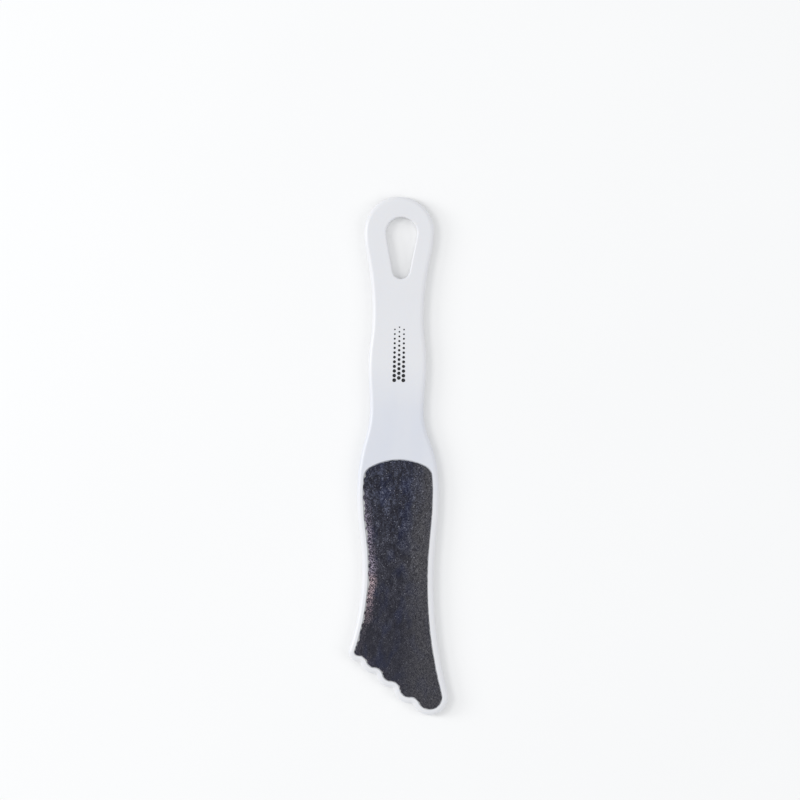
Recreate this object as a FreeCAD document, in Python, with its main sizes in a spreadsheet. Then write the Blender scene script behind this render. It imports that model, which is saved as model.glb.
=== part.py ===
import FreeCAD, Part
import math
import os
import Sketcher

# Foot file: one moulded body with a foot-shaped paddle, and an abrasive sheet in a shallow
# recess on each face. It lies with its coarse face up. X runs across the file, Y along it
# with the handle at +Y, and Z through its thickness. The origin is the middle of the
# footprint, on the plane that the fine face rests on.

# Sizes in millimetres. Half widths are measured from the handle's centre line. The handle runs
# from the centre of its round hanging end to the neck, and the paddle from the neck to the
# centre of the big toe. Each smaller toe steps across and rises from the next bigger one.
LENGTHS = {
    "body_thickness": 4.2,
    "edge_radius": 1.7,
    "handle_length": 74.0,
    "head_radius": 14.5,
    "waist_half": 10.6,
    "swell_half": 12.0,
    "neck_half": 11.1,
    "paddle_length": 119.4,
    "heel_left": 16.0,
    "heel_right": 18.0,
    "arch_left": 13.4,
    "arch_right": 16.3,
    "big_x": 15.4,
    "big_radius": 7.6,
    "second_step": 8.4,
    "second_rise": 4.0,
    "second_radius": 6.7,
    "third_step": 7.7,
    "third_rise": 6.1,
    "third_radius": 6.3,
    "fourth_step": 6.9,
    "fourth_rise": 5.5,
    "fourth_radius": 6.2,
    "little_step": 7.1,
    "little_rise": 2.7,
    "little_radius": 4.0,
    "notch_radius": 1.0,
    "hole_offset": 1.0,
    "hole_top_drop": 0.5,
    "hole_top_radius": 6.5,
    "hole_bottom_drop": 16.1,
    "hole_bottom_radius": 3.6,
    "hole_mouth_radius": 0.7,
    "rim_width": 2.4,
    "rim_break": 0.2,
    "recess_depth": 0.5,
    "dome_x": 1.5,
    "dome_rise": 13.4,
    "dome_radius": 24.1,
    "corner_radius": 5.2,
    "sheet_clearance": 0.3,
    "adhesive_thickness": 0.12,
    "backing_thickness": 0.28,
    "coarse_grit_thickness": 0.3,
    "fine_grit_thickness": 0.2,
}

# A place share says how far along the handle or the paddle a station lies. A bend share says
# where the outline bends between a station and the next one down. The limit shares keep a
# rounding within the thickness, depth or rim that carries it.
SHARES = {
    "waist_place_share": 0.473,
    "swell_place_share": 0.757,
    "heel_place_share": 0.286,
    "arch_left_place_share": 0.567,
    "arch_right_place_share": 0.584,
    "head_bend_share": 0.26,
    "waist_bend_share": 0.5,
    "swell_bend_share": 0.5,
    "neck_bend_share": 0.34,
    "heel_bend_share": 0.5,
    "depth_limit_share": 0.42,
    "rim_limit_share": 0.75,
}

SIDES = {"left": -1, "right": 1}
TOES = ["little", "fourth", "third", "second", "big"]


def stations(side):
    """Widest and narrowest places down one side: name, cell of the half width, cell of the drop.

    A drop is a distance along the file, from the centre of the round hanging end.
    """
    return [
        ("head", "head_radius", "head_drop"),
        ("waist", "waist_half", "waist_drop"),
        ("swell", "swell_half", "swell_drop"),
        ("neck", "neck_half", "handle_length"),
        ("heel", f"heel_{side}", "heel_drop"),
        ("arch", f"arch_{side}", f"arch_{side}_drop"),
    ]


def bend_cells():
    """Bulges of the two tangent arcs that lead from each station to the next one down.

    A bulge is a radius that is negative where the outline is hollow.
    """
    cells = {}
    for side in SIDES:
        places = stations(side)
        for (upper, half, drop), (lower, next_half, next_drop) in zip(places, places[1:]):
            step = f"({half} - {next_half})"
            both = f"({step} ^ 2 + ({next_drop} - {drop}) ^ 2) / (2 * {step})"
            cells[f"{side}_{upper}_below"] = f"={upper}_bend_share * {both}"
            cells[f"{side}_{lower}_above"] = f"=({upper}_bend_share - 1) * {both}"
    return cells


def toe_cells():
    """Centres of the smaller toes, each from the next bigger one."""
    cells = {}
    for toe, bigger in zip(TOES[-2::-1], TOES[:0:-1]):
        cells[f"{toe}_x"] = f"={bigger}_x - {toe}_step"
        cells[f"{toe}_drop"] = f"={bigger}_drop - {toe}_rise"
    return cells


# Sizes that follow from the others. The lower of the body and the fine sheet lies at zero.
DERIVED = {
    "head_drop": "=0",
    "no_inset": "=0",
    "waist_drop": "=handle_length * waist_place_share",
    "swell_drop": "=handle_length * swell_place_share",
    "heel_drop": "=handle_length + paddle_length * heel_place_share",
    "arch_left_drop": "=handle_length + paddle_length * arch_left_place_share",
    "arch_right_drop": "=handle_length + paddle_length * arch_right_place_share",
    "big_drop": "=handle_length + paddle_length",
    **toe_cells(),
    "shift_x": "=-(big_x + big_radius + little_x - little_radius) / 2",
    "shift_y": "=(big_drop + big_radius - head_radius) / 2",
    "notch_bulge": "=-notch_radius",
    "dome_centre_drop": "=heel_drop - dome_rise + dome_radius",
    "dome_bulge": "=dome_radius + rim_width",
    "corner_bulge": "=corner_radius + rim_width",
    "sheet_inset": "=rim_width + sheet_clearance",
    "edge_round": "=min(edge_radius; body_thickness * depth_limit_share; rim_width * rim_limit_share)",
    "mouth_round": "=min(hole_mouth_radius; body_thickness * depth_limit_share)",
    "break_round": "=min(rim_break; recess_depth * depth_limit_share)",
    "fine_sheet": "=fine_grit_thickness + backing_thickness + adhesive_thickness",
    "fine_grit_bottom": "=max(0; recess_depth - fine_sheet)",
    "fine_backing_bottom": "=fine_grit_bottom + fine_grit_thickness",
    "fine_adhesive_bottom": "=fine_backing_bottom + backing_thickness",
    "fine_floor": "=fine_adhesive_bottom + adhesive_thickness",
    "body_bottom": "=fine_floor - recess_depth",
    "coarse_floor": "=body_bottom + body_thickness - recess_depth",
    "coarse_backing_bottom": "=coarse_floor + adhesive_thickness",
    "coarse_grit_bottom": "=coarse_backing_bottom + backing_thickness",
    **bend_cells(),
}

doc = FreeCAD.newDocument("foot_file")
sheet = doc.addObject("Spreadsheet::Sheet", "Sizes")
for row, (alias, value) in enumerate({**LENGTHS, **SHARES, **DERIVED}.items(), 1):
    sheet.set(f"A{row}", alias)
    sheet.set(f"B{row}", str(value))
    sheet.setAlias(f"B{row}", alias)
doc.recompute()


def size(alias):
    return float(sheet.get(alias))


class OutlineArc:
    """One arc of an outline that runs anticlockwise, and the cells that place it.

    Where a cell is left out, the arc's tangent neighbours decide.
    """

    def __init__(self, name, x, y, bulge, bulge_cell=None, centre_cells=None, station=None):
        self.name = name
        self.x = x
        self.y = y
        self.bulge = bulge
        self.bulge_cell = bulge_cell
        self.centre_cells = centre_cells
        self.station = station

    def normal_to(self, following):
        """Outward normal of the outline where this arc meets the next one."""
        if self.station and self.station == following.station:
            return (self.station[0], 0.0)
        spread = following.bulge - self.bulge
        return ((self.x - following.x) / spread, (self.y - following.y) / spread)


def side_arcs(side, top, toe):
    """Arcs down one side, from a station to the toe that ends that side."""
    sign = SIDES[side]
    places = stations(side)
    start = [name for name, half, drop in places].index(top)
    arcs = []
    for name, half, drop in places[start:]:
        for part in ("above", "below"):
            cell = f"{side}_{name}_{part}"
            if cell in DERIVED:
                bulge = size(cell)
                x = sign * (size(half) - bulge)
                bound = cell if part == "below" or name == top else None
                arcs.append(OutlineArc(cell, x, -size(drop), bulge, bound, station=(sign, half, drop)))
    step = size(half) - sign * toe.x
    fall = size(drop) + toe.y
    radius = (step ** 2 + fall ** 2 - toe.bulge ** 2) / (2 * (toe.bulge - step))
    x = sign * (size(half) + radius)
    arcs.append(OutlineArc(f"{side}_flank", x, -size(drop), -radius, station=(sign, half, drop)))
    return arcs


def blend_arc(name, first, second, bulge_cell, up):
    """An arc tangent to two others, above or below the line through their centres."""
    bulge = size(bulge_cell)
    reach = abs(first.bulge - bulge)
    next_reach = abs(second.bulge - bulge)
    run_x = second.x - first.x
    run_y = second.y - first.y
    run = math.hypot(run_x, run_y)
    along = (reach ** 2 - next_reach ** 2 + run ** 2) / (2 * run)
    across = math.sqrt(reach ** 2 - along ** 2)
    if up != (run_x > 0):
        across = -across
    x = first.x + (run_x * along - run_y * across) / run
    y = first.y + (run_y * along + run_x * across) / run
    return OutlineArc(name, x, y, bulge, bulge_cell)


def toe_arcs():
    """The five toes with the four notches between them, from the little toe to the big one."""
    toes = []
    for toe in TOES:
        cells = (f"{toe}_x", f"{toe}_drop")
        radius_cell = f"{toe}_radius"
        toes.append(OutlineArc(toe, size(cells[0]), -size(cells[1]), size(radius_cell), radius_cell, cells))
    arcs = toes[:1]
    for toe, following in zip(toes, toes[1:]):
        arcs.append(blend_arc(f"{toe.name}_notch", toe, following, "notch_bulge", up=False))
        arcs.append(following)
    return arcs


def lower_arcs(top):
    """Everything below a station: down the left side, round the toes and up the right side."""
    toes = toe_arcs()
    return side_arcs("left", top, toes[0]) + toes + side_arcs("right", top, toes[-1])[::-1]


def body_outline():
    """The whole file, closed over the round hanging end."""
    lower = lower_arcs("head")
    head = OutlineArc("head", 0.0, 0.0, size("head_radius"), "head_radius")
    return [head] + lower


def paddle_outline():
    """The paddle up to the domed top edge of its sheets, at the full width of the body."""
    lower = lower_arcs("heel")
    cells = ("dome_x", "dome_centre_drop")
    dome = OutlineArc("dome", size(cells[0]), -size(cells[1]), size("dome_bulge"), "dome_bulge", cells)
    left = blend_arc("left_corner", dome, lower[0], "corner_bulge", up=True)
    right = blend_arc("right_corner", dome, lower[-1], "corner_bulge", up=True)
    return [dome, left] + lower + [right]


# Points of a sketch's arcs, the sketch's own origin and X axis, and what counts as the same height.
START, END, CENTRE = 1, 2, 3
ORIGIN = (-1, 1)
X_AXIS = -1
UP = FreeCAD.Vector(0, 0, 1)
NEAR = 1e-4


def radius_tie(name, formula, number, value):
    """A radius of a sketch, with its name and the formula that binds it to the sheet."""
    return name, formula, Sketcher.Constraint("Radius", number, value)


def place_tie(name, formula, axis, number, point, value):
    """A distance along an axis from a sketch's origin to a point of one of its arcs."""
    return name, formula, Sketcher.Constraint(f"Distance{axis}", *ORIGIN, number, point, value)


def bind(sketch, ties):
    """Add dimensions to a sketch and bind each to the sheet."""
    indexes = sketch.addConstraint([constraint for name, formula, constraint in ties])
    for index, (name, formula, constraint) in zip(indexes, ties):
        sketch.renameConstraint(index, name)
        sketch.setExpression(f"Constraints.{name}", formula)


def draw_outline(sketch, arcs, inset_cell):
    """Draw tangent arcs, all moved inwards by an inset, with their sizes bound to the sheet."""
    normals = [arc.normal_to(following) for arc, following in zip(arcs, arcs[1:] + arcs[:1])]
    curves = []
    ends = []
    for number, arc in enumerate(arcs):
        bulge = arc.bulge - size(inset_cell)
        turn = math.copysign(1, bulge)
        angles = [math.atan2(turn * y, turn * x) for x, y in (normals[number - 1], normals[number])]
        if bulge < 0:
            angles.reverse()
        if angles[1] < angles[0]:
            angles[1] += 2 * math.pi
        circle = Part.Circle(FreeCAD.Vector(arc.x, arc.y, 0), UP, abs(bulge))
        curves.append(Part.ArcOfCircle(circle, *angles))
        ends.append((START, END) if bulge > 0 else (END, START))
    sketch.addGeometry(curves, False)
    tangents = []
    for number, (first, last) in enumerate(ends):
        following = (number + 1) % len(ends)
        tangents.append(Sketcher.Constraint("Tangent", number, last, following, ends[following][0]))
    sketch.addConstraint(tangents)
    ties = []
    for number, arc in enumerate(arcs):
        name = arc.name
        if arc.bulge_cell:
            bulge = arc.bulge - size(inset_cell)
            formula = f"abs(Sizes.{arc.bulge_cell} - Sizes.{inset_cell})"
            ties.append(radius_tie(f"{name}_radius", formula, number, abs(bulge)))
        if arc.centre_cells:
            across, drop = arc.centre_cells
            ties.append(place_tie(f"{name}_x", f"Sizes.{across}", "X", number, CENTRE, arc.x))
            ties.append(place_tie(f"{name}_y", f"-Sizes.{drop}", "Y", number, CENTRE, arc.y))
        if arc.station and name.endswith("above"):
            sign, half, drop = arc.station
            point = ends[number][1] if sign < 0 else ends[number][0]
            across = sign * (size(half) - size(inset_cell))
            formula = f"{sign} * (Sizes.{half} - Sizes.{inset_cell})"
            ties.append(place_tie(f"{name}_x", formula, "X", number, point, across))
            ties.append(place_tie(f"{name}_y", f"-Sizes.{drop}", "Y", number, point, arc.y))
            ties.append(place_tie(f"{name}_level", f"-Sizes.{drop}", "Y", number, CENTRE, arc.y))
    bind(sketch, ties)


def new_body(name, bottom_cell):
    """A body of its own for a sub-part, placed by the sheet."""
    body = doc.addObject("PartDesign::Body", name)
    body.Label = name
    body.setExpression("Placement.Base.x", "Sizes.shift_x")
    body.setExpression("Placement.Base.y", "Sizes.shift_y")
    body.setExpression("Placement.Base.z", f"Sizes.{bottom_cell}")
    return body


def flat_sketch(body, name):
    """A sketch on the body's own XY plane."""
    sketch = body.newObject("Sketcher::SketchObject", name)
    plane = [feature for feature in body.Origin.OriginFeatures if feature.Role == "XY_Plane"]
    sketch.AttachmentSupport = (plane[0], [""])
    sketch.MapMode = "FlatFace"
    return sketch


def pad(body, name, sketch, thickness_cell):
    feature = body.newObject("PartDesign::Pad", name)
    feature.Profile = sketch
    feature.setExpression("Length", f"Sizes.{thickness_cell}")
    doc.recompute()
    return feature


def cut(body, name, sketch, upwards, depth_cell=None):
    """Pocket a sketch, upwards or downwards, to a depth or right through."""
    before = body.Shape.Volume
    feature = body.newObject("PartDesign::Pocket", name)
    feature.Profile = sketch
    feature.Reversed = upwards
    if depth_cell:
        feature.setExpression("Length", f"Sizes.{depth_cell}")
    else:
        feature.Type = "ThroughAll"
    doc.recompute()
    if not body.Shape.Volume < before:
        raise RuntimeError(f"{name} cuts nothing")
    return feature


def loop_edges(shape, heights, chosen):
    """Names of the edges round the flat faces at some heights, of the loops that are chosen."""
    picked = []
    for face in shape.Faces:
        box = face.BoundBox
        if any(abs(box.ZMin - z) < NEAR and abs(box.ZMax - z) < NEAR for z in heights):
            for wire in face.Wires:
                if chosen(wire.isSame(face.OuterWire), wire.BoundBox.Center.y):
                    picked.extend(wire.Edges)
    return [f"Edge{number}" for number, edge in enumerate(shape.Edges, 1)
            if any(edge.isSame(other) for other in picked)]


def round_edges(body, name, base, edges, radius_cell):
    feature = body.newObject("PartDesign::Fillet", name)
    feature.Base = (base, edges)
    feature.setExpression("Radius", f"Sizes.{radius_cell}")
    doc.recompute()
    return feature


def draw_teardrop(sketch):
    """The hang hole: a wide round top and a narrow round bottom, joined by tangent lines."""
    x = size("hole_offset")
    top = size("hole_top_radius")
    bottom = size("hole_bottom_radius")
    top_y = -size("hole_top_drop")
    bottom_y = -size("hole_bottom_drop")
    lean = math.asin((top - bottom) / (top_y - bottom_y))
    upper = Part.Circle(FreeCAD.Vector(x, top_y, 0), UP, top)
    lower = Part.Circle(FreeCAD.Vector(x, bottom_y, 0), UP, bottom)
    upper_arc = Part.ArcOfCircle(upper, -lean, math.pi + lean)
    lower_arc = Part.ArcOfCircle(lower, math.pi + lean, 2 * math.pi - lean)
    left = Part.LineSegment(upper_arc.EndPoint, lower_arc.StartPoint)
    right = Part.LineSegment(lower_arc.EndPoint, upper_arc.StartPoint)
    arc, left_line, low_arc, right_line = sketch.addGeometry([upper_arc, left, lower_arc, right], False)
    sketch.addConstraint([
        Sketcher.Constraint("Tangent", arc, END, left_line, START),
        Sketcher.Constraint("Tangent", left_line, END, low_arc, START),
        Sketcher.Constraint("Tangent", low_arc, END, right_line, START),
        Sketcher.Constraint("Tangent", right_line, END, arc, START),
    ])
    ties = []
    for number, place, radius, y in ((arc, "top", top, top_y), (low_arc, "bottom", bottom, bottom_y)):
        ties.append(radius_tie(f"{place}_radius", f"Sizes.hole_{place}_radius", number, radius))
        ties.append(place_tie(f"{place}_x", "Sizes.hole_offset", "X", number, CENTRE, x))
        ties.append(place_tie(f"{place}_y", f"-Sizes.hole_{place}_drop", "Y", number, CENTRE, y))
    bind(sketch, ties)


HEAD = 0


def file_body():
    """The moulded body: outline, hang hole, a recess on each face, and its rounded edges."""
    body = new_body("file_body", "body_bottom")
    outline = flat_sketch(body, "body_outline")
    draw_outline(outline, body_outline(), "no_inset")
    outline.addConstraint([
        Sketcher.Constraint("Coincident", HEAD, CENTRE, *ORIGIN),
        Sketcher.Constraint("PointOnObject", HEAD, START, X_AXIS),
        Sketcher.Constraint("PointOnObject", HEAD, END, X_AXIS),
    ])
    pad(body, "body_plate", outline, "body_thickness")
    teardrop = flat_sketch(body, "hang_hole_outline")
    draw_teardrop(teardrop)
    cut(body, "hang_hole", teardrop, upwards=True)
    fine = flat_sketch(body, "fine_recess_outline")
    draw_outline(fine, paddle_outline(), "rim_width")
    cut(body, "fine_recess", fine, upwards=True, depth_cell="recess_depth")
    coarse = flat_sketch(body, "coarse_recess_outline")
    coarse.setExpression("AttachmentOffset.Base.z", "Sizes.body_thickness")
    draw_outline(coarse, paddle_outline(), "rim_width")
    plate = cut(body, "coarse_recess", coarse, upwards=False, depth_cell="recess_depth")
    faces = (0.0, size("body_thickness"))
    handle_end = -size("handle_length")
    rim = loop_edges(plate.Shape, faces, lambda outer, y: outer)
    plate = round_edges(body, "rim_rounding", plate, rim, "edge_round")
    mouth = loop_edges(plate.Shape, faces, lambda outer, y: not outer and y > handle_end)
    plate = round_edges(body, "hole_rounding", plate, mouth, "mouth_round")
    lip = loop_edges(plate.Shape, faces, lambda outer, y: not outer and y < handle_end)
    round_edges(body, "recess_rounding", plate, lip, "break_round")
    return body


def sheet_layer(name, bottom_cell, thickness_cell):
    """One layer of an abrasive sheet: the recess's outline, smaller by the clearance."""
    body = new_body(name, bottom_cell)
    outline = flat_sketch(body, f"{name}_outline")
    draw_outline(outline, paddle_outline(), "sheet_inset")
    pad(body, f"{name}_layer", outline, thickness_cell)
    return body


sub_parts = [
    file_body(),
    sheet_layer("coarse_adhesive", "coarse_floor", "adhesive_thickness"),
    sheet_layer("coarse_backing", "coarse_backing_bottom", "backing_thickness"),
    sheet_layer("coarse_grit", "coarse_grit_bottom", "coarse_grit_thickness"),
    sheet_layer("fine_adhesive", "fine_adhesive_bottom", "adhesive_thickness"),
    sheet_layer("fine_backing", "fine_backing_bottom", "backing_thickness"),
    sheet_layer("fine_grit", "fine_grit_bottom", "fine_grit_thickness"),
]
doc.recompute()

for item in doc.Objects:
    if "Invalid" in item.State or "Error" in item.State:
        raise RuntimeError(f"{item.Label} failed: {item.State}")
for sub_part in sub_parts:
    shape = sub_part.Shape
    if shape.isNull() or not shape.isValid() or len(shape.Solids) != 1:
        raise RuntimeError(f"{sub_part.Label} is not one valid solid")

os.makedirs("parts", exist_ok=True)
for sub_part in sub_parts:
    sub_part.Shape.exportStep(f"parts/{sub_part.Label}.step")
    print(f"{sub_part.Label}: {sub_part.Shape.Volume:.1f} cubic mm")
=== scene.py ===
import math

import bpy
import numpy as np
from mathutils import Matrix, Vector
from mathutils.geometry import delaunay_2d_cdt


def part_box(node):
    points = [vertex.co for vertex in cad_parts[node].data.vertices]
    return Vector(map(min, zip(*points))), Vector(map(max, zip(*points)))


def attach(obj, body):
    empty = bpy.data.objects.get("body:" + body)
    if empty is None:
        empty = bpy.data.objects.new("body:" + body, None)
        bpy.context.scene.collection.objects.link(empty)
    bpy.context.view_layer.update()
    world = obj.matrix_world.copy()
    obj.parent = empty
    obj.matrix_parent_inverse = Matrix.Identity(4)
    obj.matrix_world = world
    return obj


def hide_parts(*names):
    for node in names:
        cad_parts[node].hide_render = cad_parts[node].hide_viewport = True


# A foot file seen from straight above, coarse side up, on a pale floor. Lengths are in metres, in
# the part's frame: X across the file, Y along it with the handle at +Y, Z up from the floor.
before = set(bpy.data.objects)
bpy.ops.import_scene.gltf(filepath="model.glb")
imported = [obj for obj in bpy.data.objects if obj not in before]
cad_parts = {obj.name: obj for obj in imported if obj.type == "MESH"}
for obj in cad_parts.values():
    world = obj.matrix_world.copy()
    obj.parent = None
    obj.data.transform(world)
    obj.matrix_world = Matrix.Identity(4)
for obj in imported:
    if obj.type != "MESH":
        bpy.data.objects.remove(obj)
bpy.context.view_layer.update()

MM = 0.001

# How close two points are that count as one: in a mesh from the frame, in metres, and in a
# triangulation, in millimetres
SAME_PLACE = 1e-5
SAME_SPOT_MM = 1e-5

# The abrasive: the share of its strewn points that are grains, and for each side how far apart the
# points are, the heights of resin and grains as shares of the layer, and the seed of its draws
GRAIN_SHARE = 0.4
COARSE_PITCH = 0.25 * MM
COARSE_RESIN_HEIGHT_SHARES = (0.1, 0.45)
COARSE_GRAIN_HEIGHT_SHARES = (0.65, 1.0)
COARSE_SEED = 11
FINE_PITCH = 0.23 * MM
FINE_RESIN_HEIGHT_SHARES = (0.45, 0.65)
FINE_GRAIN_HEIGHT_SHARES = (0.75, 1.0)
FINE_SEED = 12

# The cut through paper and grit: how far apart its bumps are, and how far they reach outwards and
# inwards from the plain outline, all round and then on the left side, where they reach farthest
CUT_PITCH = 0.65 * MM
CUT_REACH = (0.1 * MM, 0.1 * MM)
COARSE_LEFT_REACH = (0.25 * MM, 0.6 * MM)
FINE_LEFT_REACH = (0.12 * MM, 0.2 * MM)

# The rim's left side is where the way into the sheet points right. It begins where this share of
# that way goes along X, and the rim is fully left where the share is a span larger.
LEFT_FROM_SHARE = 0.85
LEFT_SPAN_SHARE = 0.1

# The print on the handle: three columns of dots, large towards the sheet and small towards the hole
PRINT_CENTRE = (-1.45 * MM, 42.9 * MM)
PRINT_LENGTH = 23.0 * MM
PRINT_COLUMN_GAP = 1.9 * MM
PRINT_ROWS = 12
DOT_RADIUS_NEAR_SHEET = 0.8 * MM
DOT_RADIUS_NEAR_HOLE = 0.3 * MM
DOT_SIDES = 24
INK_DEPTH = 0.02 * MM
INK_EDGE_SHARE = 0.9

# The photograph: 333.4 mm across at the file's height, from straight above, with the file leaning
# 0.8 degrees to the right and its middle below the picture's
PICTURE_WIDTH = 333.4 * MM
PICTURE_CENTRE = (-0.82 * MM, 23.2 * MM)
LEAN = math.radians(0.8)
CAMERA_HEIGHT = 1.5

# The studio: the floor, how far it reaches each way, and the world's faintly blue light
FLOOR_SHADES = ((0.93, 0.928, 0.92), (0.94, 0.938, 0.93))
FLOOR_CLOUD_SIZE = 150 * MM
FLOOR_ROUGHNESS = 0.8
FLOOR_REACH = 4.0
WORLD_COLOUR = (0.96, 0.975, 1.0)
WORLD_STRENGTH = 0.7


# Outlines of the cut pieces, read from the frame


def signed_area(outline):
    x, y = outline.T
    return 0.5 * float(np.dot(x, np.roll(y, -1)) - np.dot(y, np.roll(x, -1)))


def face_outline(node, face):
    """The outline of a node's flat top or bottom face: points in order, anticlockwise from above."""
    bottom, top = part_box(node)
    height = top.z if face == "top" else bottom.z
    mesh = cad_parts[node].data
    points = np.array([vertex.co for vertex in mesh.vertices])
    keys = np.round(points / SAME_PLACE)
    _, first, same = np.unique(keys, axis=0, return_index=True, return_inverse=True)
    same = same.ravel().tolist()
    level = np.abs(points[:, 2] - height) < SAME_PLACE
    edges = set()
    for polygon in mesh.polygons:
        corners = list(polygon.vertices)
        if all(level[corner] for corner in corners):
            ring = [same[corner] for corner in corners]
            edges.update(zip(ring, ring[1:] + ring[:1]))
    follow = {start: end for start, end in edges if (end, start) not in edges}
    start = here = min(follow)
    outline = []
    while not outline or here != start:
        outline.append(here)
        here = follow[here]
    outline = points[first[outline], :2]
    return outline if signed_area(outline) > 0 else outline[::-1]


def inside(outline, points):
    """Which points lie inside a closed outline."""
    x, y = points.T
    found = np.zeros(len(points), bool)
    for (ax, ay), (bx, by) in zip(outline, np.roll(outline, -1, axis=0)):
        if ay != by:
            found ^= ((ay > y) != (by > y)) & (x < ax + (y - ay) * (bx - ax) / (by - ay))
    return found


def wandering(count, every, draw):
    """Random numbers from 0 to 1 round a closed rim of count points, a new one every few points."""
    marks = draw.random(count // every)
    places = np.arange(len(marks)) * count / len(marks)
    return np.interp(np.arange(count), places, marks, period=count)


def evenly_spaced(outline, step):
    """A closed outline's points, taken anew about a step apart."""
    closed = np.concatenate([outline, outline[:1]])
    run = np.concatenate([[0.0], np.cumsum(np.linalg.norm(np.diff(closed, axis=0), axis=1))])
    marks = np.linspace(0.0, run[-1], int(run[-1] / step), endpoint=False)
    return np.stack([np.interp(marks, run, closed[:, axis]) for axis in (0, 1)], -1)


def cut_rim(outline, step, left_reach, draw):
    """The outline with points about a step apart, moved out and in at random, most on the left."""
    rim = evenly_spaced(outline, step)
    along = np.roll(rim, -1, axis=0) - np.roll(rim, 1, axis=0)
    inwards = np.stack([-along[:, 1], along[:, 0]], -1) / np.linalg.norm(along, axis=1, keepdims=True)
    on_left = np.clip((inwards[:, 0] - LEFT_FROM_SHARE) / LEFT_SPAN_SHARE, 0.0, 1.0)
    outmost, inmost = (plain + (left - plain) * on_left for plain, left in zip(CUT_REACH, left_reach))
    bumps = (outmost + inmost) * wandering(len(rim), round(CUT_PITCH / step), draw) - outmost
    return rim + inwards * bumps[:, None]


def left_margin(rim, spots):
    """How far each spot lies to the right of the rim's left side."""
    left = rim[rim[:, 0] < rim[:, 0].mean()]
    left = left[np.argsort(left[:, 1])]
    return spots[:, 0] - np.interp(spots[:, 1], left[:, 1], left[:, 0])


# Meshes


def new_object(name, points, faces, material):
    mesh = bpy.data.meshes.new(name)
    mesh.from_pydata([tuple(point) for point in points], [], faces)
    mesh.materials.append(material)
    mesh.update()
    item = bpy.data.objects.new(name, mesh)
    bpy.context.scene.collection.objects.link(item)
    return item


def add_attribute(mesh, name, domain, values):
    """A number for each point or face, for the material to read."""
    attribute = mesh.attributes.new(name, "FLOAT", domain)
    attribute.data.foreach_set("value", values.astype(np.float32))


def walls(lower, upper):
    """Faces that join a ring of points to the ring above it."""
    return list(zip(lower, lower[1:] + lower[:1], upper[1:] + upper[:1], upper))


# The abrasive sheets: grains set in resin on paper, closed and cut along one bumpy rim


def strewn_points(outline, pitch, draw):
    """Points strewn at random inside an outline, one in each square cell."""
    low, high = outline.min(axis=0), outline.max(axis=0)
    columns, rows = np.ceil((high - low) / pitch).astype(int)
    cells = np.stack(np.meshgrid(np.arange(columns), np.arange(rows)), -1).reshape(-1, 2)
    points = low + (cells + draw.random(cells.shape)) * pitch
    return points[inside(outline, points)]


def triangulated(rim, points):
    """Triangles that join a rim's points and the points inside it, anticlockwise from above."""
    count = len(rim)
    hem = [(k, (k + 1) % count) for k in range(count)]
    spots = np.concatenate([rim, points])
    places = [Vector(spot) for spot in (spots / MM).tolist()]
    whole_hull = 0
    found = delaunay_2d_cdt(places, hem, [], whole_hull, SAME_SPOT_MM, True)
    source = np.array([numbers[0] for numbers in found[3]])
    triangles = source[np.array(found[2])]
    outside = (triangles < count).all(axis=1)
    outside[outside] = ~inside(rim, spots[triangles[outside]].mean(axis=1))
    return spots, triangles[~outside], hem


def strewn_heights(count, resin_shares, grain_shares, draw):
    """How high strewn points stand, as shares of the layer: some are grains, the others resin."""
    grain = draw.random(count) < GRAIN_SHARE
    low = np.where(grain, grain_shares[0], resin_shares[0])
    high = np.where(grain, grain_shares[1], resin_shares[1])
    return low + (high - low) * draw.random(count)


def paper_sheet(node, rim, material):
    """Replaces a node by a flat sheet of paper with a rim that was cut together with the grit's."""
    bottom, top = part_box(node)
    count = len(rim)
    points = [(x, y, z) for z in (bottom.z, top.z) for x, y in rim.tolist()]
    lower = list(range(count))
    upper = [count + k for k in lower]
    faces = [lower[::-1], upper, *walls(lower, upper)]
    paper = new_object(f"{node}_sheet", points, faces, material)
    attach(paper, "root")
    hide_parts(node)


def grit_layer(node, face, rim, pitch, resin_shares, grain_shares, material, draw):
    """Replaces a node by a layer whose grains stand on the node's top or bottom face."""
    bottom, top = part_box(node)
    inner, outer = (bottom.z, top.z) if face == "top" else (top.z, bottom.z)
    spots, triangles, hem = triangulated(rim, strewn_points(rim, pitch, draw))
    height = inner + (outer - inner) * strewn_heights(len(spots), resin_shares, grain_shares, draw)
    back = np.column_stack([rim, np.full(len(rim), inner)])
    points = np.concatenate([np.column_stack([spots, height]), back])
    base = len(spots)
    faces = triangles.tolist()
    faces += [[a, base + a, base + b, b] for a, b in hem]
    faces.append([base + k for k in range(len(rim))][::-1])
    if face == "bottom":
        faces = [corners[::-1] for corners in faces]
    layer = new_object(f"{node}_grains", points, faces, material)
    add_attribute(layer.data, "tint", "POINT", draw.random(len(points)))
    add_attribute(layer.data, "facet", "FACE", draw.random(len(faces)))
    add_attribute(layer.data, "left_margin", "POINT", left_margin(rim, points[:, :2]))
    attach(layer, "root")
    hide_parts(node)


def abrasive_sheet(side, face, pitch, left_reach, resin_shares, grain_shares, seed, materials):
    """The paper and the grit of one side, cut together from the outline of its plain grit."""
    paper_material, grit_material = materials
    draw = np.random.default_rng(seed)
    rim = cut_rim(face_outline(f"{side}_grit", face), pitch, left_reach, draw)
    paper_sheet(f"{side}_backing", rim, paper_material)
    grit_layer(f"{side}_grit", face, rim, pitch, resin_shares, grain_shares, grit_material, draw)


# The print on the handle


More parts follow.
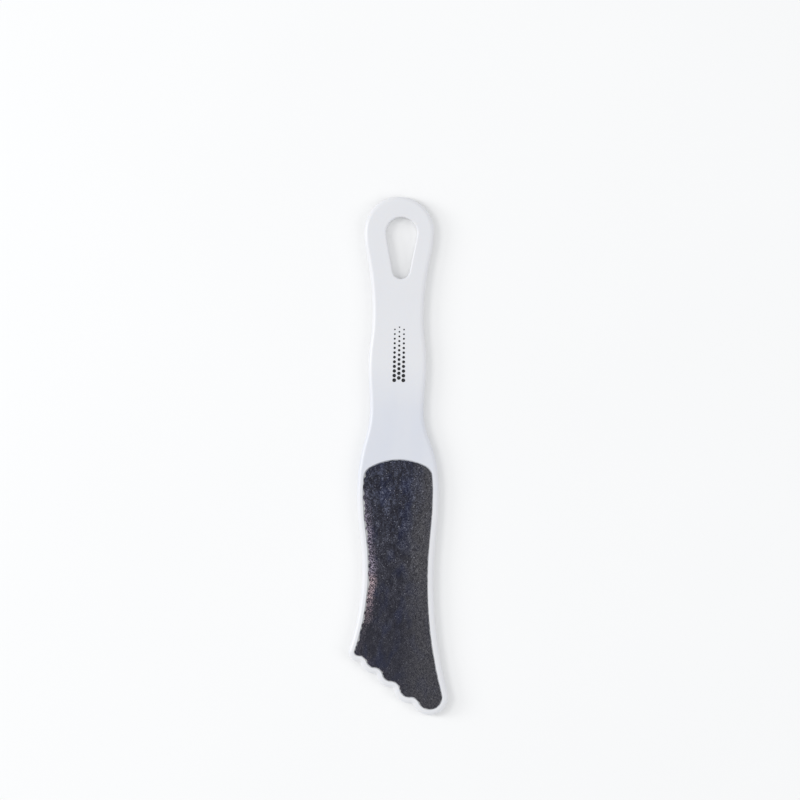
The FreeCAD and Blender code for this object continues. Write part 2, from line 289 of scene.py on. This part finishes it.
def ink_dot(centre, radius, face_height, base):
    """The points and faces of one dot of ink: closed, with a bevelled edge, its points from base on."""
    levels = ((1.0, -INK_DEPTH), (1.0, INK_DEPTH / 2), (INK_EDGE_SHARE, INK_DEPTH))
    points = []
    for reach, rise in levels:
        for angle in [math.tau * k / DOT_SIDES for k in range(DOT_SIDES)]:
            x = centre[0] + reach * radius * math.cos(angle)
            y = centre[1] + reach * radius * math.sin(angle)
            points.append((x, y, face_height + rise))
    rings = [[base + level * DOT_SIDES + k for k in range(DOT_SIDES)] for level in range(len(levels))]
    faces = [rings[0][::-1], rings[-1]]
    for lower, upper in zip(rings, rings[1:]):
        faces += walls(lower, upper)
    return points, faces


def print_dots(material):
    """A generic field of dots on the handle's top face, in staggered columns."""
    face_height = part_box("file_body")[1].z
    points, faces = [], []
    for column in (-1, 0, 1):
        stagger = 0.5 if column == 0 else 0.0
        x = PRINT_CENTRE[0] + column * PRINT_COLUMN_GAP
        for row in range(PRINT_ROWS):
            share = (row + stagger) / PRINT_ROWS
            y = PRINT_CENTRE[1] + (share - 0.5) * PRINT_LENGTH
            radius = DOT_RADIUS_NEAR_SHEET + (DOT_RADIUS_NEAR_HOLE - DOT_RADIUS_NEAR_SHEET) * share
            dot_points, dot_faces = ink_dot((x, y), radius, face_height, len(points))
            points += dot_points
            faces += dot_faces
    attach(new_object("handle_print", points, faces, material), "root")


# Materials


# The middle of a noise's range, which holds nearly all of it
NOISE_MIDDLE = (0.3, 0.7)


class Look:
    """A material built a node at a time, on the object's own coordinates in metres."""

    def __init__(self, name):
        self.material = bpy.data.materials.new(name)
        self.material.use_nodes = True
        self.tree = self.material.node_tree
        self.surface = self.tree.nodes["Principled BSDF"]
        self.place = self.node("ShaderNodeTexCoord").outputs["Object"]

    def give(self, socket, value):
        """Sets a socket to a number, a vector or a colour, or links it to another node's output."""
        if isinstance(value, bpy.types.NodeSocket):
            self.tree.links.new(value, socket)
        elif isinstance(value, tuple) and socket.type == "RGBA":
            socket.default_value = (*value, 1.0)
        else:
            socket.default_value = value

    def node(self, kind, inputs=None, **settings):
        made = self.tree.nodes.new(kind)
        for key, value in settings.items():
            setattr(made, key, value)
        for key, value in (inputs or {}).items():
            self.give(made.inputs[key], value)
        return made

    def set(self, **inputs):
        """Gives the surface's own sockets their values, with _ for each space in a socket's name."""
        for key, value in inputs.items():
            self.give(self.surface.inputs[key.replace("_", " ")], value)

    def axis(self, letter):
        return self.node("ShaderNodeSeparateXYZ", {0: self.place}).outputs[letter]

    def attribute(self, name):
        return self.node("ShaderNodeAttribute", attribute_name=name).outputs["Fac"]

    def noise(self, size, detail=2.0, roughness=0.5, scales=None):
        """Soft noise from 0 to 1 with features about a size across, longer where a scale is below 1."""
        place = self.place
        if scales:
            place = self.node("ShaderNodeMapping", {"Vector": place, "Scale": scales}).outputs["Vector"]
        inputs = {"Vector": place, "Scale": 1 / size, "Detail": detail, "Roughness": roughness}
        return self.node("ShaderNodeTexNoise", inputs).outputs["Fac"]

    def maths(self, operation, *values):
        return self.node("ShaderNodeMath", dict(enumerate(values)), operation=operation).outputs[0]

    def plus(self, first, second):
        return self.maths("ADD", first, second)

    def minus(self, first, second):
        return self.maths("SUBTRACT", first, second)

    def times(self, first, second):
        return self.maths("MULTIPLY", first, second)

    def distance(self, letter, place):
        """How far a spot lies from a place on one axis, either way."""
        return self.maths("ABSOLUTE", self.minus(self.axis(letter), place))

    def ramp(self, value, low, high, start=0.0, end=1.0):
        """Turns low..high into start..end, held beyond them."""
        inputs = {"Value": value, "From Min": low, "From Max": high, "To Min": start, "To Max": end}
        return self.node("ShaderNodeMapRange", inputs).outputs["Result"]

    def spread(self, noise, start=0.0, end=1.0):
        """Turns the middle of a noise's range into start..end."""
        return self.ramp(noise, *NOISE_MIDDLE, start, end)

    def along(self, band, start=0.0, end=1.0):
        """Goes from start to end where Y goes through a band, and is held beyond it."""
        return self.ramp(self.axis("Y"), *band, start, end)

    def mix(self, amount, first, second):
        """The first colour where the amount is 0, and the second where it is 1."""
        made = self.node("ShaderNodeMix", data_type="RGBA")
        colours = [socket for socket in made.inputs if socket.type == "RGBA"]
        for socket, value in zip([made.inputs["Factor"], *colours], (amount, first, second)):
            self.give(socket, value)
        return next(socket for socket in made.outputs if socket.type == "RGBA")

    def bump(self, height, distance, under=None):
        inputs = {"Height": height, "Distance": distance}
        if under:
            inputs["Normal"] = under
        return self.node("ShaderNodeBump", inputs).outputs["Normal"]


# The body's plastic: its shades, with a painted shade, darker and bluer, at the neck that fades away over
# a range of distances from the neck's middle, and the sizes of its clouds, bumps and parting line
PLASTIC_SHADES = ((0.750, 0.754, 0.778), (0.770, 0.773, 0.792))
NECK_PAINTED_SHADES = ((0.675, 0.696, 0.755), (0.697, 0.714, 0.768))
NECK_MIDDLE_Y = 8 * MM
NECK_PAINTED_SHADE_FADE = (12 * MM, 30 * MM)
CLOUD_SIZE = 30 * MM
FLOW_SHADE = (0.767, 0.771, 0.790)
FLOW_SIZE = 12 * MM
FLOW_SCALES = (1.0, 0.25, 1.0)
FLOW_MOST = 0.5
GLOSS_SIZE = 9 * MM
GLOSS_NOISE_RANGE = (0.2, 0.8)
PLASTIC_ROUGHNESS = (0.29, 0.36)
PLASTIC_GLOW = {"Subsurface_Weight": 0.1, "Subsurface_Radius": (1.6, 1.4, 1.2), "Subsurface_Scale": MM}
TEXTURE_SIZE = 0.4 * MM
TEXTURE_DEPTH = 0.0015 * MM
WAVE_SIZE = 5 * MM
WAVE_DEPTH = 0.02 * MM
PARTING_LINE_REACH = 0.09 * MM
PARTING_LINE_HEIGHT = 0.04 * MM


def body_plastic():
    """Cool white moulded plastic: satin gloss, faintly clouded by its flow, with a painted bluish shade at
    the neck.
    """
    look = Look("body_plastic")
    cloud = look.spread(look.noise(CLOUD_SIZE, detail=3.0))
    # Painted shade: the plastic turns darker and bluer towards the neck
    off_neck_painted_shade = look.ramp(look.distance("Y", NECK_MIDDLE_Y), *NECK_PAINTED_SHADE_FADE)
    base = look.mix(off_neck_painted_shade, look.mix(cloud, *NECK_PAINTED_SHADES), look.mix(cloud, *PLASTIC_SHADES))
    flow = look.spread(look.noise(FLOW_SIZE, scales=FLOW_SCALES), 0.0, FLOW_MOST)
    look.set(Base_Color=look.mix(flow, base, FLOW_SHADE))
    look.set(Roughness=look.ramp(look.noise(GLOSS_SIZE), *GLOSS_NOISE_RANGE, *PLASTIC_ROUGHNESS))
    look.set(**PLASTIC_GLOW)
    texture = look.bump(look.noise(TEXTURE_SIZE), TEXTURE_DEPTH)
    wave = look.bump(look.noise(WAVE_SIZE, detail=1.0), WAVE_DEPTH, texture)
    bottom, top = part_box("file_body")
    off_line = look.distance("Z", (bottom.z + top.z) / 2)
    parting_line = look.ramp(off_line, 0.0, PARTING_LINE_REACH, 1.0, 0.0)
    look.set(Normal=look.bump(parting_line, PARTING_LINE_HEIGHT, wave))
    return look.material


# The grit's colours on each side of the file, with the pale colours of a painted glare on the left and a
# painted sheen on the right. The fine side has neither, so its colours for them are one dark grey close to
# its grains.
COARSE_COLOURS = {
    "resin": (0.006, 0.006, 0.014),
    "cool_resin": (0.003, 0.006, 0.028),
    "grain": (0.142, 0.144, 0.182),
    "cool_grain": (0.136, 0.150, 0.222),
    # The next three are painted reflections: a grey sheen on the right and a reddish glare on the left
    "painted_sheen": (0.140, 0.136, 0.140),
    "painted_glare": (0.64, 0.49, 0.53),
    "cool_painted_glare": (0.57, 0.49, 0.62),
    "glint": (0.4, 0.4, 0.45),
}
FINE_COLOURS = {
    "resin": (0.016, 0.017, 0.026),
    "cool_resin": (0.012, 0.014, 0.034),
    "grain": (0.070, 0.073, 0.095),
    "cool_grain": (0.070, 0.073, 0.095),
    "painted_sheen": (0.05, 0.05, 0.06),
    "painted_glare": (0.05, 0.05, 0.06),
    "cool_painted_glare": (0.05, 0.05, 0.06),
    "glint": (0.15, 0.15, 0.17),
}

# Along the file each band is the stretch of Y over which something changes. The grit is worn smooth
# towards the toes, where an even share of the grains' colour takes the place of single grains, and
# the grains turn cool towards the domed top.
WORN_BAND = (-85 * MM, -28 * MM)
WORN_MOST = 0.8
WORN_GRAIN_SHARE = 0.12
COOL_GRAIN_BAND = (-42 * MM, -17 * MM)

# Grains show by their tint and gather in clumps, over patches of cooler resin
SPECK_TINTS = (0.2, 1.0)
CLUMP_SIZE = 1.8 * MM
CLUMP_SCALES = (1.0, 0.45, 1.0)
CLUMP_NOISE_RANGE = (0.4, 0.68)
CLUMP_AMOUNTS = (0.08, 1.15)
PATCH_SIZE = 5 * MM
PATCH_SCALES = (1.0, 0.5, 1.0)
PATCH_NOISE_RANGE = (0.5, 0.65)

# The edges of the painted sheen and the painted glare stray by a sway, in lengthwise streaks
SWAY_SIZE = 7 * MM
SWAY_SCALES = (1.0, 0.2, 1.0)
SWAY_SPAN = 9 * MM

# The painted sheen, a pale grey reflection on the right, sets in over a range of X, farther right towards
# the top, and is fainter at the toes
PAINTED_SHEEN_X_RANGE = (1 * MM, 9 * MM)
PAINTED_SHEEN_SHIFT_BAND = (-35 * MM, -18 * MM)
PAINTED_SHEEN_SHIFT = 2.5 * MM
PAINTED_SHEEN_TOES_BAND = (-68 * MM, -56 * MM)
PAINTED_SHEEN_AMOUNTS = (0.55, 0.75)

# The painted glare, a pale reddish reflection on the left, thins out over a range of distances from the
# sheet's left edge. It is widest at one place and narrows by a little both ways over a range of distances
# from there, is nearly gone at the toes, is gone at the top, and is cooler and fainter above a short band.
PAINTED_GLARE_EDGE_RANGE = (2.3 * MM, 5.0 * MM)
PAINTED_GLARE_WIDEST_Y = -54 * MM
PAINTED_GLARE_NARROWING_RANGE = (6 * MM, 26 * MM)
PAINTED_GLARE_NARROWING = 1.8 * MM
PAINTED_GLARE_TOES_BAND = (-72 * MM, -56 * MM)
PAINTED_GLARE_AT_TOES = 0.05
PAINTED_GLARE_TOP_BAND = (-27 * MM, -12 * MM)
PAINTED_GLARE_COOL_BAND = (-51 * MM, -48 * MM)
PAINTED_GLARE_COOL_AMOUNT = 0.65
PAINTED_GLARE_TINTS = (0.3, 0.9)

# Facets: the few that glint, how brightly where the grit is fresh and where it is most worn, and
# the roughness from the dullest facet to the shiniest
GLINT_FACETS = (0.992, 0.994)
GLINT_AMOUNTS = (0.9, 0.4)
FACET_ROUGHNESS = (0.7, 0.3)
GRIT_SPECULAR = 0.3


def streaky_sway(look):
    """A distance either way that changes across the file and stays much the same along it."""
    streaks = look.noise(SWAY_SIZE, detail=3.0, scales=SWAY_SCALES)
    return look.times(look.minus(streaks, 0.5), SWAY_SPAN)


def speckled(look, colours, tint, worn):
    """Dark resin with paler grains."""
    noise = look.noise(CLUMP_SIZE, detail=4.0, roughness=0.75, scales=CLUMP_SCALES)
    clumps = look.ramp(noise, *CLUMP_NOISE_RANGE, *CLUMP_AMOUNTS)
    fresh_specks = look.times(look.ramp(tint, *SPECK_TINTS), clumps)
    specks = look.ramp(worn, 0.0, 1.0, fresh_specks, WORN_GRAIN_SHARE)
    patches = look.ramp(look.noise(PATCH_SIZE, scales=PATCH_SCALES), *PATCH_NOISE_RANGE)
    resin = look.mix(patches, colours["resin"], colours["cool_resin"])
    grain = look.mix(look.along(COOL_GRAIN_BAND), colours["grain"], colours["cool_grain"])
    return look.mix(specks, resin, grain)


def painted_sheen_right(look, colours, tint, sway, base):
    """The same with a painted sheen, a pale grey reflection, on its right side."""
    shift = look.along(PAINTED_SHEEN_SHIFT_BAND, 0.0, PAINTED_SHEEN_SHIFT)
    across = look.minus(look.plus(look.axis("X"), sway), shift)
    amount = look.times(look.ramp(across, *PAINTED_SHEEN_X_RANGE), look.along(PAINTED_SHEEN_TOES_BAND, *PAINTED_SHEEN_AMOUNTS))
    return look.mix(amount, base, look.mix(tint, colours["resin"], colours["painted_sheen"]))


def painted_glare_left(look, colours, tint, sway, base):
    """The same with a painted glare, a pale reddish reflection, on its left side."""
    cool = look.along(PAINTED_GLARE_COOL_BAND)
    amount = look.times(look.along(PAINTED_GLARE_TOES_BAND, PAINTED_GLARE_AT_TOES, 1.0), look.along(PAINTED_GLARE_TOP_BAND, 1.0, 0.0))
    amount = look.times(amount, look.ramp(cool, 0.0, 1.0, 1.0, PAINTED_GLARE_COOL_AMOUNT))
    off_widest = look.distance("Y", PAINTED_GLARE_WIDEST_Y)
    narrowing = look.ramp(off_widest, *PAINTED_GLARE_NARROWING_RANGE, 0.0, PAINTED_GLARE_NARROWING)
    off_edge = look.plus(look.plus(look.attribute("left_margin"), sway), narrowing)
    amount = look.times(amount, look.ramp(off_edge, *PAINTED_GLARE_EDGE_RANGE, 1.0, 0.0))
    painted_glare = look.mix(cool, colours["painted_glare"], colours["cool_painted_glare"])
    return look.mix(amount, base, look.mix(look.ramp(tint, *PAINTED_GLARE_TINTS), colours["resin"], painted_glare))


def grit(name, colours):
    """Silicon carbide grains in resin: dark in the middle, paler at the sides with a painted glare on the
    left and a painted sheen on the right.
    """
    look = Look(name)
    tint = look.attribute("tint")
    facet = look.attribute("facet")
    worn = look.along(WORN_BAND, WORN_MOST, 0.0)
    sway = streaky_sway(look)
    base = speckled(look, colours, tint, worn)
    # Painted sheen: a pale grey reflection on the right side
    base = painted_sheen_right(look, colours, tint, sway, base)
    # Painted glare: a pale reddish reflection along the left side
    base = painted_glare_left(look, colours, tint, sway, base)
    glinting = look.ramp(facet, *GLINT_FACETS, 0.0, look.ramp(worn, 0.0, WORN_MOST, *GLINT_AMOUNTS))
    look.set(Base_Color=look.mix(glinting, base, colours["glint"]))
    look.set(Roughness=look.ramp(facet, 0.0, 1.0, *FACET_ROUGHNESS), Specular_IOR_Level=GRIT_SPECULAR)
    return look.material


# Paper, glue and ink: shades, roughness and the sizes of fibres and clouds
PAPER_SHADES = ((0.12, 0.117, 0.114), (0.20, 0.193, 0.186))
PAPER_ROUGHNESS = (0.75, 0.9)
FIBRE_SIZE = 0.3 * MM
FIBRE_SCALES = (1.0, 1.0, 3.0)
FIBRE_DEPTH = 0.02 * MM
GLUE_SHADES = ((0.60, 0.60, 0.59), (0.70, 0.70, 0.70))
GLUE_ROUGHNESS = (0.3, 0.5)
GLUE_CLOUD_SIZE = 1 * MM
INK_SHADES = ((0.004, 0.004, 0.005), (0.012, 0.012, 0.014))
INK_NOISE_RANGE = (0.35, 0.65)
INK_ROUGHNESS = (0.3, 0.45)
INK_CLOUD_SIZE = 0.5 * MM


def backing_paper():
    """The sized paper under the grains, seen at its cut edge."""
    look = Look("backing_paper")
    fibre = look.noise(FIBRE_SIZE, detail=4.0, roughness=0.7, scales=FIBRE_SCALES)
    look.set(Base_Color=look.mix(look.spread(fibre), *PAPER_SHADES))
    look.set(Roughness=look.spread(fibre, *PAPER_ROUGHNESS), Normal=look.bump(fibre, FIBRE_DEPTH))
    return look.material


def glue_film():
    """The thin cloudy film of glue under the paper."""
    look = Look("glue_film")
    cloud = look.noise(GLUE_CLOUD_SIZE, detail=3.0)
    look.set(Base_Color=look.mix(look.spread(cloud), *GLUE_SHADES))
    look.set(Roughness=look.spread(cloud, *GLUE_ROUGHNESS))
    return look.material


def printing_ink():
    """Black pad-printing ink, slightly uneven."""
    look = Look("printing_ink")
    cloud = look.noise(INK_CLOUD_SIZE, detail=3.0)
    look.set(Base_Color=look.mix(look.ramp(cloud, *INK_NOISE_RANGE), *INK_SHADES))
    look.set(Roughness=look.spread(cloud, *INK_ROUGHNESS))
    return look.material


def dress(material, *nodes):
    for node in nodes:
        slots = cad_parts[node].data.materials
        slots.clear()
        slots.append(material)


# Floor, lights and camera


def pale_floor():
    look = Look("pale_floor")
    cloud = look.noise(FLOOR_CLOUD_SIZE)
    look.set(Base_Color=look.mix(look.spread(cloud), *FLOOR_SHADES))
    look.set(Roughness=FLOOR_ROUGHNESS, Specular_IOR_Level=0.0)
    return look.material


def add_floor():
    reach = FLOOR_REACH
    corners = [(-reach, -reach, 0), (reach, -reach, 0), (reach, reach, 0), (-reach, reach, 0)]
    new_object("floor", corners, [(0, 1, 2, 3)], pale_floor())


def softbox(name, place, size, power):
    """A square lamp that faces the file."""
    lamp = bpy.data.lights.new(name, "AREA")
    lamp.size = size
    lamp.energy = power
    item = bpy.data.objects.new(name, lamp)
    item.location = place
    item.rotation_mode = "QUATERNION"
    item.rotation_quaternion = Vector(place).to_track_quat("Z", "Y")
    bpy.context.scene.collection.objects.link(item)


def add_world():
    world = bpy.data.worlds.new("studio")
    world.use_nodes = True
    background = world.node_tree.nodes["Background"]
    background.inputs["Color"].default_value = (*WORLD_COLOUR, 1.0)
    background.inputs["Strength"].default_value = WORLD_STRENGTH
    bpy.context.scene.world = world


def add_camera():
    lens = bpy.data.cameras.new("camera")
    lens.lens = lens.sensor_width * CAMERA_HEIGHT / PICTURE_WIDTH
    camera = bpy.data.objects.new("camera", lens)
    camera.location = (*PICTURE_CENTRE, CAMERA_HEIGHT)
    camera.rotation_euler = (0.0, 0.0, LEAN)
    bpy.context.scene.collection.objects.link(camera)
    bpy.context.scene.camera = camera


dress(body_plastic(), "file_body")
dress(glue_film(), "coarse_adhesive", "fine_adhesive")

paper = backing_paper()
abrasive_sheet(
    "coarse",
    "top",
    pitch=COARSE_PITCH,
    left_reach=COARSE_LEFT_REACH,
    resin_shares=COARSE_RESIN_HEIGHT_SHARES,
    grain_shares=COARSE_GRAIN_HEIGHT_SHARES,
    seed=COARSE_SEED,
    materials=(paper, grit("coarse_grit", COARSE_COLOURS)),
)
abrasive_sheet(
    "fine",
    "bottom",
    pitch=FINE_PITCH,
    left_reach=FINE_LEFT_REACH,
    resin_shares=FINE_RESIN_HEIGHT_SHARES,
    grain_shares=FINE_GRAIN_HEIGHT_SHARES,
    seed=FINE_SEED,
    materials=(paper, grit("fine_grit", FINE_COLOURS)),
)
print_dots(printing_ink())

add_floor()
softbox("key_left", place=(-1.7, 0.35, 1.9), size=0.9, power=14.0)
softbox("low_left", place=(-2.2, 0.3, 0.9), size=0.8, power=16.0)
softbox("fill_right", place=(1.8, -0.2, 1.4), size=1.4, power=9.0)
add_world()
add_camera()
bpy.context.scene.view_settings.view_transform = "Standard"
